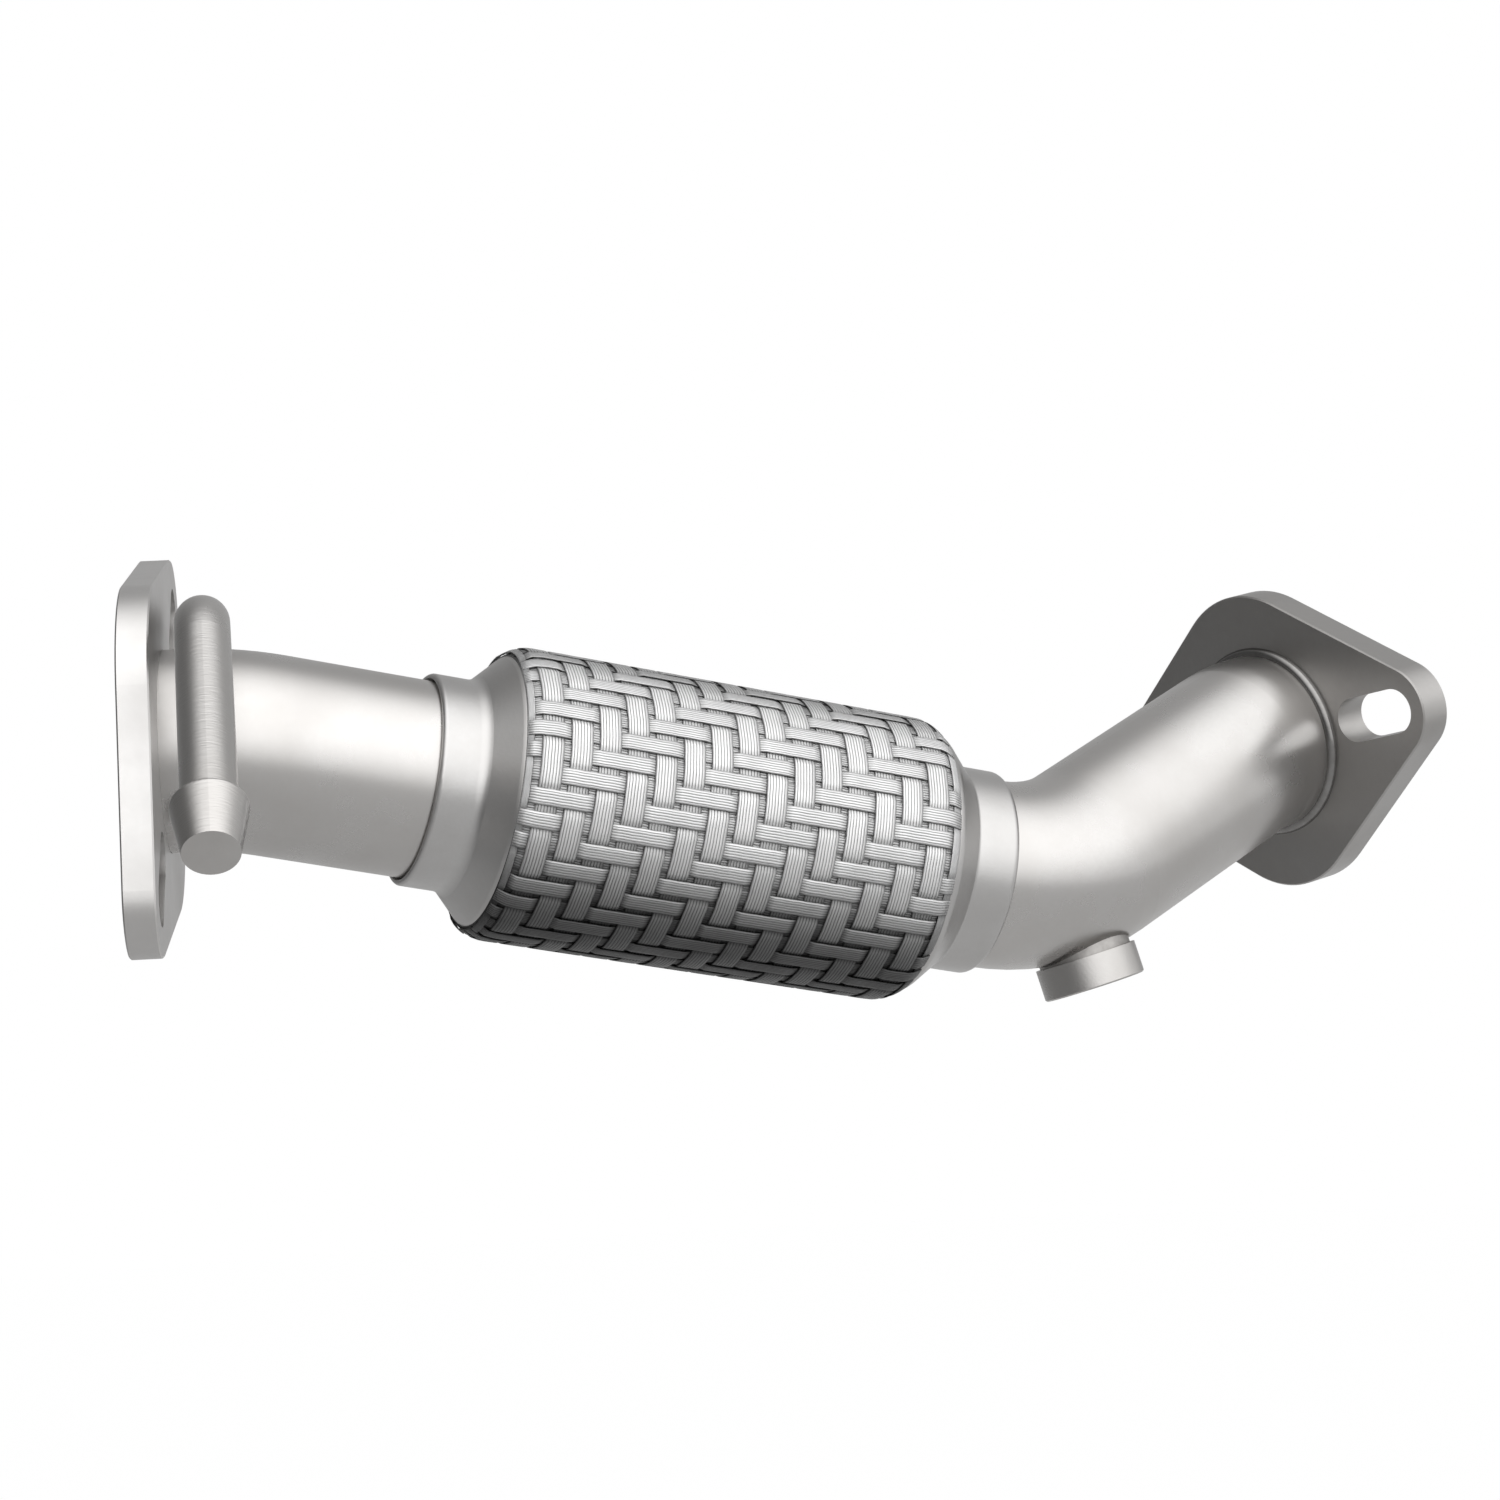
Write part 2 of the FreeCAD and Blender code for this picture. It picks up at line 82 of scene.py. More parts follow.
inlet_bend = onward(Matrix(), INLET_RUN)
inlet_bend_end = turned(inlet_bend, INLET_BEND_RADIUS, INLET_BEND_ANGLE, INLET_BEND_ROLL)
flex_start = onward(inlet_bend_end, RUN_TO_FLEX)
outlet_bend = onward(flex_start, FLEX_LENGTH + RUN_TO_OUTLET_BEND)
boss_middle = turned(outlet_bend, OUTLET_BEND_RADIUS, BOSS_ANGLE, OUTLET_BEND_ROLL)
boss_rolled = boss_middle @ Matrix.Rotation(math.radians(BOSS_ROLL), 4, "X")
boss_place = boss_rolled @ Matrix.Rotation(math.pi / 2, 4, "Z")
print("sleeve starts at", [round(v / MM, 1) for v in flex_start.translation], "mm")
print("boss points along", [round(v, 3) for v in boss_place.to_3x3().col[0]])

# %% [markdown]
# ## The camera
# The camera stands level with the pipe and close to square on it. A long lens keeps the two
# plates nearly the same size, as in a catalogue picture. The three axes are written out, so
# the camera's matrix is simply their columns. A camera could also be turned by a Track To
# constraint, but then its roll would be lost.

# %% Place the camera
LENS, FILM_WIDTH = 84, 36

camera_data = bpy.data.cameras.new("camera")
camera_data.lens = LENS
camera_data.sensor_width = FILM_WIDTH
camera = bpy.data.objects.new("camera", camera_data)
bpy.context.scene.collection.objects.link(camera)
right = Vector((0.99605, -0.07524, -0.04722))
forward = Vector((0.07516, 0.99717, -0.00356))
spot = Vector((0.08721, -0.88265, -0.00339))
axes = Matrix((right, right.cross(forward), -forward)).transposed()
camera.matrix_world = Matrix.Translation(spot) @ axes.to_4x4()
bpy.context.scene.camera = camera
print("camera", round(spot.length, 3), "m from the inlet plate")

# %% [markdown]
# ## Small node helpers
# Every material below is a graph of nodes. It could be wired up by hand in the editor, and
# here a few helpers do it. `add` makes one node, sets its options and fills its inputs: a
# socket is linked, and anything else is a plain value. `new_group` opens a node group, a
# recipe that several materials share.

# %% Make nodes


def add(tree, kind, inputs=None, **options):
    node = tree.nodes.new(kind)
    for name, value in options.items():
        setattr(node, name, value)
    for key, value in (inputs or {}).items():
        if isinstance(value, bpy.types.NodeSocket):
            tree.links.new(value, node.inputs[key])
        else:
            node.inputs[key].default_value = value
    return node


def math_node(tree, operation, first, second=0.0, third=0.0):
    node = add(tree, "ShaderNodeMath", {0: first, 1: second, 2: third}, operation=operation)
    return node.outputs[0]


def spread(tree, value, low, high, to_low, to_high):
    """Value rescaled from low..high to to_low..to_high, and held at the ends."""
    ends = {"Value": value, "From Min": low, "From Max": high, "To Min": to_low, "To Max": to_high}
    return add(tree, "ShaderNodeMapRange", ends).outputs["Result"]


def mixed(tree, factor, first, second):
    node = add(tree, "ShaderNodeMix", {"Factor": factor}, data_type="RGBA")
    for slot, value in ((6, first), (7, second)):
        if isinstance(value, bpy.types.NodeSocket):
            tree.links.new(value, node.inputs[slot])
        else:
            node.inputs[slot].default_value = value
    return node.outputs[2]


SOCKETS = {"value": "NodeSocketFloat", "colour": "NodeSocketColor", "vector": "NodeSocketVector"}


def new_group(name, inputs, outputs):
    group = bpy.data.node_groups.new(name, "ShaderNodeTree")
    for label, kind in inputs.items():
        group.interface.new_socket(label, in_out="INPUT", socket_type=SOCKETS[kind])
    for label, kind in outputs.items():
        group.interface.new_socket(label, in_out="OUTPUT", socket_type=SOCKETS[kind])
    given = group.nodes.new("NodeGroupInput").outputs
    result = group.nodes.new("NodeGroupOutput").inputs
    return group, given, result


print("group sockets can hold:", ", ".join(SOCKETS))

# %% [markdown]
# ## Shared effect: the grain of worked steel
# Tubes, plates and rods all carry fine marks from rolling, sanding or turning. An image could
# hold them, but it would need a map for every piece. One noise, pressed narrow in one
# direction and long in the other, needs none. The group takes the stretch as a vector, so a
# tube can have an even grain and a rod a grain that runs round it.

# %% Group: steel_grain
steel_grain, given, result = new_group(
    "steel_grain",
    {"Vector": "vector", "Stretch": "vector"},
    {"Height": "value", "Streak": "value"})
factors = {0: given["Vector"], 1: given["Stretch"]}
stretched = add(steel_grain, "ShaderNodeVectorMath", factors, operation="MULTIPLY").outputs[0]
marks = {"Vector": stretched, "Scale": 1.0, "Detail": 4.0}
fine = add(steel_grain, "ShaderNodeTexNoise", marks).outputs["Fac"]
steel_grain.links.new(fine, result["Height"])
steel_grain.links.new(spread(steel_grain, fine, 0.3, 0.7, 0.0, 1.0), result["Streak"])
print("group:", steel_grain.name)

# %% [markdown]
# ## Shared effect: handling
# Bare steel is never one even grey. Rolling scale, oil and fingers leave soft patches that
# change both the colour and the gloss. A painted image of smudges could show them, but it
# would repeat from piece to piece. One slow noise drives both colour and gloss, because on
# real metal a duller patch is also a darker one.

# %% Group: handling
handling, given, result = new_group(
    "handling",
    {"Vector": "vector", "Patch size": "value", "Clean": "colour", "Dull": "colour",
     "Gloss": "value", "Matt": "value"},
    {"Color": "colour", "Roughness": "value"})
scale = math_node(handling, "DIVIDE", 1.0, given["Patch size"])
marks = {"Vector": given["Vector"], "Scale": scale, "Detail": 5.0, "Roughness": 0.6}
patches = add(handling, "ShaderNodeTexNoise", marks).outputs["Fac"]
amount = spread(handling, patches, 0.35, 0.7, 0.0, 1.0)
handling.links.new(mixed(handling, amount, given["Clean"], given["Dull"]), result["Color"])
rough = add(handling, "ShaderNodeMix", {0: amount, 2: given["Gloss"], 3: given["Matt"]})
handling.links.new(rough.outputs[0], result["Roughness"])
print("group:", handling.name)

# %% [markdown]
# ## Shared effect: strands of wire
# Each strap of the sleeve is six or seven thin wires laid side by side. Modelling every
# wire would cost millions of faces, so the strap's UV map counts the wires across it, and
# this group draws them: a round hump for each count, a groove mask between two humps, which
# the finish fills with painted shade, and a slightly different tone for each wire. The wave
# bends the wires a little, as in real cloth.

# %% Group: wire_strands
wire_strands, given, result = new_group(
    "wire_strands",
    {"UV": "vector", "Wave": "value", "Wave length": "value"},
    {"Height": "value", "Groove": "value", "Tone": "value"})
parts = add(wire_strands, "ShaderNodeSeparateXYZ", {0: given["UV"]}).outputs
waves = math_node(wire_strands, "DIVIDE", parts["Y"], given["Wave length"])
swing = math_node(wire_strands, "SINE", math_node(wire_strands, "MULTIPLY", waves, 2 * math.pi))
across = math_node(wire_strands, "MULTIPLY_ADD", swing, given["Wave"], parts["X"])
share = math_node(wire_strands, "FRACT", across)
aside = math_node(wire_strands, "MULTIPLY_ADD", share, 2.0, -1.0)
square = math_node(wire_strands, "MULTIPLY", aside, aside)
left_over = math_node(wire_strands, "SUBTRACT", 1.0, square)
hump = math_node(wire_strands, "SQRT", math_node(wire_strands, "MAXIMUM", left_over, 0.0))
wire_strands.links.new(hump, result["Height"])
wire_strands.links.new(spread(wire_strands, hump, 0.3, 0.95, 1.0, 0.0), result["Groove"])
which = math_node(wire_strands, "FLOOR", across)
tone = add(wire_strands, "ShaderNodeTexWhiteNoise", {"W": which}, noise_dimensions="1D")
wire_strands.links.new(tone.outputs["Value"], result["Tone"])
print("groups:", [g.name for g in bpy.data.node_groups])

# %% [markdown]
# ## The steel finishes
# `steel` starts a material with object coordinates and a metal shader and joins the shared
# groups to it. Each piece could have a graph of its own, but what differs from one finish to
# the next is only its numbers: how light it is clean and dull, how rough, how its grain is
# stretched and how deep it is in mm. The `turn` lays the grain's first direction along the
# piece.

# %% Build a steel
STREAKS = 0.25


def steel(name, clean, dull, gloss, matt, stretch, depth, patch=0.03, turn=None):
    material = bpy.data.materials.new(name)
    material.use_nodes = True
    tree = material.node_tree
    tree.nodes.clear()
    place = add(tree, "ShaderNodeTexCoord").outputs["Object"]
    if turn:
        lay = {"Vector": place, "Rotation": turn.to_euler()}
        place = add(tree, "ShaderNodeMapping", lay, vector_type="TEXTURE").outputs[0]
    lines = {"Vector": place, "Stretch": stretch}
    grain = add(tree, "ShaderNodeGroup", lines, node_tree=steel_grain).outputs
    marks = {"Vector": place, "Patch size": patch, "Clean": (*clean, 1), "Dull": (*dull, 1),
             "Gloss": gloss, "Matt": matt}
    worn = add(tree, "ShaderNodeGroup", marks, node_tree=handling).outputs
    drag = math_node(tree, "MULTIPLY", grain["Streak"], STREAKS)
    colour = mixed(tree, drag, worn["Color"], (*dull, 1))
    relief = {"Height": grain["Height"], "Strength": 1.0, "Distance": depth * MM}
    bump = add(tree, "ShaderNodeBump", relief).outputs[0]
    shader = add(tree, "ShaderNodeBsdfPrincipled", {
        "Base Color": colour, "Metallic": 1.0, "Roughness": worn["Roughness"], "Normal": bump})
    add(tree, "ShaderNodeOutputMaterial", {"Surface": shader.outputs[0]})
    return material


def grey(value, warmth=0.0):
    return (value * (1 + warmth), value, value * (1 - warmth))


print("a steel at half grey:", grey(0.5, 0.02))

# %% [markdown]
# ## One finish for each kind of piece
# The two plates get a steel each: the outlet plate's is a tone darker, painted shade for the
# darker light that falls on that plate. The rod's grain runs round it, as turning leaves it.
# Weld beads are glossier than the tube, as metal that has been molten is, and the ring at
# the outlet plate and the weld under the boss are painted darker, as shade where they meet
# plate and tube. One steel for everything would be shorter, but then nothing would tell a
# turned rod from a rolled plate.

# %% The finishes
ROD_WAY = (0.0538, -0.7412, -0.6691)
leg_turn = Vector(ROD_WAY).to_track_quat("X", "Z").to_matrix()
tube_steel = steel(
    "tube_steel", clean=grey(0.50, 0.02), dull=grey(0.45, 0.03), gloss=0.26, matt=0.33,
    stretch=(900, 900, 900), depth=0.004)
inlet_steel = steel(
    "inlet_flange_steel", clean=grey(0.57, 0.015), dull=grey(0.51, 0.02), gloss=0.30, matt=0.40,
    stretch=(500, 1400, 500), depth=0.012)
# Painted shade: the same plate steel a tone darker, for the darker light on this plate.
outlet_shaded_steel = steel(
    "outlet_flange_shaded_steel", clean=grey(0.39, 0.02), dull=grey(0.34, 0.03), gloss=0.30, matt=0.40,
    stretch=(500, 1400, 500), depth=0.012)
rod_steel = steel(
    "rod_steel", clean=grey(0.51, 0.02), dull=grey(0.44, 0.03), gloss=0.26, matt=0.34,
    stretch=(2600, 300, 300), depth=0.07, turn=leg_turn)
cap_steel = steel(
    "cap_steel", clean=grey(0.50, 0.01), dull=grey(0.43, 0.02), gloss=0.28, matt=0.36,
    stretch=(1100, 1100, 1100), depth=0.02)
bellows_steel = steel(
    "bellows_steel", clean=grey(0.46), dull=grey(0.38), gloss=0.3, matt=0.4,
    stretch=(500, 500, 500), depth=0.01)
liner_steel = steel(
    "liner_steel", clean=grey(0.36), dull=grey(0.26), gloss=0.38, matt=0.5,
    stretch=(400, 400, 400), depth=0.02)
boss_steel = steel(
    "boss_steel", clean=grey(0.49, 0.02), dull=grey(0.42, 0.03), gloss=0.25, matt=0.33,
    stretch=(2200, 1500, 1500), depth=0.03, turn=boss_place.to_3x3())
weld_steel = steel(
    "weld_steel", clean=grey(0.42, 0.02), dull=grey(0.30, 0.03), gloss=0.16, matt=0.26,
    stretch=(300, 300, 300), depth=0.03, patch=0.004)
# Painted shade: a darker weld steel for the contact shadow where the ring meets the plate.
ring_weld_shaded = steel(
    "ring_weld_steel", clean=grey(0.26, 0.02), dull=grey(0.19, 0.03), gloss=0.14, matt=0.22,
    stretch=(300, 300, 300), depth=0.03, patch=0.004)
# Painted shade: a darker weld steel for the contact shadow between the boss and the tube.
shaded_weld = steel(
    "shaded_weld_steel", clean=grey(0.36, 0.03), dull=grey(0.26, 0.04), gloss=0.35, matt=0.5,
    stretch=(300, 300, 300), depth=0.06, patch=0.004)

FINISHES = {
    "inlet_flange": inlet_steel, "inlet_flange_weld": weld_steel, "inlet_pipe": tube_steel,
    "hanger_rod": rod_steel, "hanger_rod_weld": weld_steel, "flex_inlet_cap": cap_steel,
    "flex_outlet_cap": cap_steel, "flex_bellows": bellows_steel, "flex_liner": liner_steel,
    "outlet_pipe": tube_steel, "sensor_boss": boss_steel, "sensor_boss_weld": shaded_weld,
    "outlet_flange": outlet_shaded_steel, "outlet_flange_weld": ring_weld_shaded,
}
for node, finish in FINISHES.items():
    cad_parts[node].material_slots[0].material = finish
print("finished", len(FINISHES), "CAD nodes")

# %% [markdown]
# ## The woven sleeve: its rule
# The sleeve is wire cloth: 40 straps run along it and 15 hoops cross them, each over two and
# under two, and the pattern steps by one from row to row, which is a twill. It could be an
# image, but cloth like this is coarse enough to catch light and cast shadows, so it is
# modelled. A strap is high where it passes over a crossing and low where it passes under.

# %% Weave rule
ROWS, COLUMNS, REPEAT = 40, 15, 4
ROW_STRAP, COLUMN_STRAP = 4.3, 5.7
COLUMN_PITCH, FIRST_COLUMN = 7.465, 25.3
ROW_TURN = 360 / ROWS
FIRST_ROW = 89.4
WEAVE_STEP = 0.42


def row_is_over(row, column):
    return (column - row) % REPEAT < REPEAT / 2


for row in range(REPEAT):
    print("row", row, "".join("|="[row_is_over(row, column)] for column in range(COLUMNS)))

# %% [markdown]
# ## The woven sleeve: its form
# The cloth is a cylinder whose two ends are pressed down onto the caps by a clamping tool. The
# form could be a mesh to wrap the cloth on. Here it is a small function that tells the radius
# at any distance along the sleeve, so that every strap bends exactly with it.

# %% Sleeve form
SLEEVE_START, SLEEVE_END = 19.2, 137.0
SLEEVE_MIDDLE = (SLEEVE_START + SLEEVE_END) / 2
SLEEVE_RADIUS = 38.1
TURN_DOWN, TURN_RADIUS = 2.0, 9.0


def sleeve_radius(along):
    """Radius of the cloth's top, which turns down onto the caps at both ends."""
    reach = math.sqrt(TURN_RADIUS ** 2 - (TURN_RADIUS - TURN_DOWN) ** 2)
    into = max(0.0, SLEEVE_START + reach - along, along - SLEEVE_END + reach)
    return SLEEVE_RADIUS - TURN_RADIUS + math.sqrt(TURN_RADIUS ** 2 - min(into, reach) ** 2)


def on_sleeve(along, angle, sunk):
    """Point of the sleeve: the angle turns from up towards the rod's side."""
    r, a = sleeve_radius(along) - sunk, math.radians(angle)
    return flex_start @ Vector((along * MM, -r * math.sin(a) * MM, r * math.cos(a) * MM))


print("radius:", *(round(sleeve_radius(x), 2) for x in (SLEEVE_START, SLEEVE_MIDDLE, SLEEVE_END)))

# %% [markdown]
# ## The woven sleeve: one strap
# A strap could be a curve with a flat profile, but a grid keeps its faces and its UV map in
# hand. Every vertex of the grid is a station along the strap and a lane across it, and it
# moves to its place on the sleeve. The stations sit at the edges and middles of the
# crossings, where the strap changes height. The lanes give it a soft crown. Solidify then
# gives it the wires' thickness.
#
# Every vertex also carries two marks for the finish, both of them painted shade: how low it
# lies, which darkens the recesses of the weave, and how far the sleeve is darkened underneath
# and, less, along its top line, where the light falls off.

# %% Lay a strap
LANES = 4
CROWN = 0.02
SAME_SPOT = 0.001
# Painted shade: the sleeve is darkened underneath and, weaker, along its top line.
UNDERSIDE_SHADE_START, UNDERSIDE_SHADE_FULL = -0.1, -0.88
TOP_SHADE_START, TOP_SHADE_FULL, TOP_SHADE_SHARE = 0.78, 0.97, 0.6


def ease(value, start, full):
    t = min(max((value - start) / (full - start), 0.0), 1.0)
    return t * t * (3 - 2 * t)


def painted_shade_at(spot):
    """Painted shade: 0 on the sleeve's flanks, some along its top line and 1 underneath."""
    local = flex_start.inverted() @ spot
    height = (flex_start.to_3x3() @ Vector((0, local.y, local.z)).normalized()).z
    return max(ease(height, UNDERSIDE_SHADE_START, UNDERSIDE_SHADE_FULL), TOP_SHADE_SHARE * ease(height, TOP_SHADE_START, TOP_SHADE_FULL))


def marks_of(mesh):
    """The two painted-shade marks each vertex of the cloth carries: underside and top, and recess.
    """
    layers = mesh.verts.layers.float
    return [layers.get(name) or layers.new(name) for name in ("painted_shade", "recess_shade")]


def new_grid(mesh, columns, rows):
    """Flat grid, as {vertex: (column, row)}, to be laid on the sleeve."""
    made = bmesh.ops.create_grid(mesh, x_segments=columns, y_segments=rows, size=0.5)["verts"]
    return {v: (round((v.co.x + 0.5) * columns), round((v.co.y + 0.5) * rows)) for v in made}


def lay_strap(mesh, stations, width, place, wires, material, closed=False):
    """Stations are (distance, sunk) pairs, and place(distance, aside, sunk) is a point."""
    uv = mesh.loops.layers.uv.verify()
    painted_shade, recess_shade = marks_of(mesh)
    spots = new_grid(mesh, len(stations) - 1, LANES)
    for v, (i, j) in spots.items():
        aside = j / LANES - 0.5
        distance, sunk = stations[i]
        v.co = place(distance, aside * width, sunk + CROWN * (2 * aside) ** 2)
        # Both marks are painted shade: for the underside and top line, and for how low the strap
        # lies.
        v[painted_shade], v[recess_shade] = painted_shade_at(v.co), sunk / WEAVE_STEP
    faces = {f for v in spots for f in v.link_faces}
    for f in faces:
        f.material_index = material
        f.smooth = True
        for loop in f.loops:
            i, j = spots[loop.vert]
            loop[uv].uv = (wires * j / LANES, stations[i][0])
    if closed:
        bmesh.ops.remove_doubles(mesh, verts=list(spots), dist=SAME_SPOT * MM)
        faces = [f for f in faces if f.is_valid]
    return list(faces)


print("grime underneath, at the side and on top:", *(
    round(painted_shade_at(on_sleeve(SLEEVE_MIDDLE, angle, 0)), 2) for angle in (180, 90, 0)))

# %% [markdown]
# ## The woven sleeve: rows and hoops
# The rows run the sleeve's whole length. The hoops close on themselves, and the two at the
# borders are cut to the part that the sleeve's edge leaves of them. One strap could be copied
# by an array, but the rule decides for every crossing which strap is on top, so each strap is
# laid on its own. All of them share one mesh.

# %% Weave the sleeve
ROW_WIRES, HOOP_WIRES = 6, 7
ROW_SLOT, HOOP_SLOT, UNDER_SLOT = 0, 1, 2


def row_stations(row):
    stops = []
    for column in range(-1, COLUMNS + 1):
        middle = FIRST_COLUMN + column * COLUMN_PITCH
        sunk = 0.0 if row_is_over(row, column) else WEAVE_STEP
        after = 0.0 if row_is_over(row, column + 1) else WEAVE_STEP
        stops += [(middle + k * COLUMN_STRAP / 2, sunk) for k in (-1, 0, 1)]
        stops.append((middle + COLUMN_PITCH / 2, (sunk + after) / 2))
    inside = [(s, d) for s, d in stops if SLEEVE_START < s < SLEEVE_END]
    return [(SLEEVE_START, inside[0][1]), *inside, (SLEEVE_END, inside[-1][1])]


def hoop_stations(column):
    stops = []
    for row in range(ROWS):
        middle = FIRST_ROW - row * ROW_TURN
        half = math.degrees(ROW_STRAP / SLEEVE_RADIUS) / 2
        sunk = WEAVE_STEP if row_is_over(row, column) else 0.0
        after = WEAVE_STEP if row_is_over(row + 1, column) else 0.0
        stops += [(middle - k * half, sunk) for k in (-1, 0, 1)]
        stops.append((middle - ROW_TURN / 2, (sunk + after) / 2))
    return [*stops, (stops[0][0] - 360, stops[0][1])]


cloth = bmesh.new()
straps = []
for row in range(ROWS):
    turn = FIRST_ROW - row * ROW_TURN

    def row_point(along, aside, sunk):
        return on_sleeve(along, turn + math.degrees(aside / SLEEVE_RADIUS), sunk)

    straps += lay_strap(cloth, row_stations(row), ROW_STRAP, row_point, ROW_WIRES, ROW_SLOT)
for column in range(-1, COLUMNS + 1):
    centre = FIRST_COLUMN + column * COLUMN_PITCH
    low = max(centre - COLUMN_STRAP / 2, SLEEVE_START)
    high = min(centre + COLUMN_STRAP / 2, SLEEVE_END)
    middle = (low + high) / 2

    def hoop_point(angle, aside, sunk):
        return on_sleeve(middle + aside, angle, sunk)

    straps += lay_strap(
        cloth, hoop_stations(column), high - low, hoop_point, HOOP_WIRES, HOOP_SLOT, closed=True)
bmesh.ops.recalc_face_normals(cloth, faces=straps)
print("straps:", len(straps), "faces")

# %% [markdown]
# ## The woven sleeve: the layer under it
# Between the straps are small windows. In a real sleeve more wire lies behind them, so nobody
# looks through. A second cloth could be woven, but so little of it shows that a closed ring
# does, and its UV map counts wires as the straps' maps do. Spinning its outline would be
# shorter, but a spin of bare edges can number the faces in another order from run to run.
# A grid laid round the axis, as the hoops are, gives the same mesh each time.

# %% Close the cloth from below
UNDER, UNDER_THICK = 0.75, 0.5
UNDER_WIRES = ROWS * 8
END_STEP, END_STOPS = 0.9, 7
RING_STEPS = 120
WIRE_THICK = 0.22


def sleeve_ring(mesh, outline):
    """Grid laid round the sleeve's axis and closed both ways, from (along, sunk) corners."""
    spots = new_grid(mesh, RING_STEPS, len(outline))
    for v, (step, corner) in spots.items():
        along, sunk = outline[corner % len(outline)]
        v.co = on_sleeve(along, 360 * step / RING_STEPS, sunk)
    faces = {f for v in spots for f in v.link_faces}
    bmesh.ops.remove_doubles(mesh, verts=list(spots), dist=SAME_SPOT * MM)
    return [f for f in faces if f.is_valid]


stops = [SLEEVE_START + k * END_STEP for k in range(END_STOPS)]
stops += [SLEEVE_END - k * END_STEP for k in reversed(range(END_STOPS))]
top = [(x, UNDER) for x in stops]
bottom = [(x, UNDER + UNDER_THICK) for x in reversed(stops)]
under = sleeve_ring(cloth, top + bottom)
painted_shade, recess_shade = marks_of(cloth)
uv = cloth.loops.layers.uv.verify()
to_sleeve = flex_start.inverted()
for f in under:
    f.material_index = UNDER_SLOT
    f.smooth = True
    middle = to_sleeve @ f.calc_center_median()
    for loop in f.loops:
        spot = to_sleeve @ loop.vert.co
        aside = Vector((middle.y, middle.z)).angle_signed(Vector((spot.y, spot.z)))
        around = math.atan2(middle.y, middle.z) + aside
        loop[uv].uv = (around / (2 * math.pi) * UNDER_WIRES, spot.x / MM)
        # The layer below lies low everywhere, so it takes full painted shade.
        loop.vert[painted_shade], loop.vert[recess_shade] = painted_shade_at(loop.vert.co), 1.0
bmesh.ops.recalc_face_normals(cloth, faces=under)
data = bpy.data.meshes.new("woven_sleeve")
cloth.to_mesh(data)
cloth.free()
sleeve = bpy.data.objects.new("woven_sleeve", data)
bpy.context.scene.collection.objects.link(sleeve)
thick = sleeve.modifiers.new("wire", "SOLIDIFY")
thick.thickness = WIRE_THICK * MM
thick.offset = -1
print("sleeve:", len(data.polygons), "faces")

# %% [markdown]
# ## The finish of the wire
# Bright annealed wire is pale and a little soft in its gloss. The two strap directions and
# the layer below share one recipe and differ in how their wires swing aside. Painted shade
# darkens the grooves between the wires, more where the cloth lies low, and most in the low
# places underneath the sleeve; painted shade also darkens the sleeve's underside and its top
# line. The marks on the vertices say where that is.

# %% Wire materials
GROOVE_PAINTED_SHADE, RECESS_SHADE_BLACK, PAINTED_SHADE_BLACK = (0.08,) * 3, (0.04,) * 3, (0.02,) * 3
GROOVE_SHADE = 0.75
RECESS_SHADE_ON_FLANKS, RECESS_SHADE_UNDERNEATH = 0.34, 0.9
SHADE_ON_WIRE, SHADE_IN_GROOVE = 0.9, 0.99
DULL_SHARE, TONE_SHARE = 0.86, 0.3
WIRE_RELIEF = 0.2


def wire_material(name, colour, wave, wave_length):
    material = bpy.data.materials.new(name)
    material.use_nodes = True
    tree = material.node_tree
    tree.nodes.clear()
    uv = add(tree, "ShaderNodeUVMap").outputs[0]
    inputs = {"UV": uv, "Wave": wave, "Wave length": wave_length}
    strands = add(tree, "ShaderNodeGroup", inputs, node_tree=wire_strands).outputs
    place = add(tree, "ShaderNodeTexCoord").outputs["Object"]
    dull = tuple(c * DULL_SHARE for c in colour)
    marks = {"Vector": place, "Patch size": 0.012, "Clean": (*colour, 1), "Dull": (*dull, 1),
             "Gloss": 0.42, "Matt": 0.52}
    worn = add(tree, "ShaderNodeGroup", marks, node_tree=handling).outputs
    each = math_node(tree, "MULTIPLY", strands["Tone"], TONE_SHARE)
    toned = mixed(tree, each, worn["Color"], (*dull, 1))
    # Painted shade in the grooves between the wires.
    shade = math_node(tree, "MULTIPLY", strands["Groove"], GROOVE_SHADE)
    grooved = mixed(tree, shade, toned, (*GROOVE_PAINTED_SHADE, 1))
    # Painted shade in the recesses of the weave, stronger underneath the sleeve.
    recess_shade = add(tree, "ShaderNodeAttribute", attribute_name="recess_shade").outputs["Fac"]
    painted_shade = add(tree, "ShaderNodeAttribute", attribute_name="painted_shade").outputs["Fac"]
    recess_darkness = spread(tree, painted_shade, 0.0, 0.8, RECESS_SHADE_ON_FLANKS, RECESS_SHADE_UNDERNEATH)
    recess_shaded = mixed(tree, math_node(tree, "MULTIPLY", recess_shade, recess_darkness), grooved, (*RECESS_SHADE_BLACK, 1))
    # Painted shade underneath and along the top line, a little weaker on the wire crests.
    shade_share = spread(tree, strands["Groove"], 0.0, 1.0, SHADE_ON_WIRE, SHADE_IN_GROOVE)
    final = mixed(tree, math_node(tree, "MULTIPLY", painted_shade, shade_share), recess_shaded, (*PAINTED_SHADE_BLACK, 1))
    relief = {"Height": strands["Height"], "Strength": 0.8, "Distance": WIRE_RELIEF * MM}
    bump = add(tree, "ShaderNodeBump", relief).outputs[0]
    shader = add(tree, "ShaderNodeBsdfPrincipled", {
        "Base Color": final, "Metallic": 0.5, "Roughness": worn["Roughness"], "Normal": bump})
    add(tree, "ShaderNodeOutputMaterial", {"Surface": shader.outputs[0]})
    return material


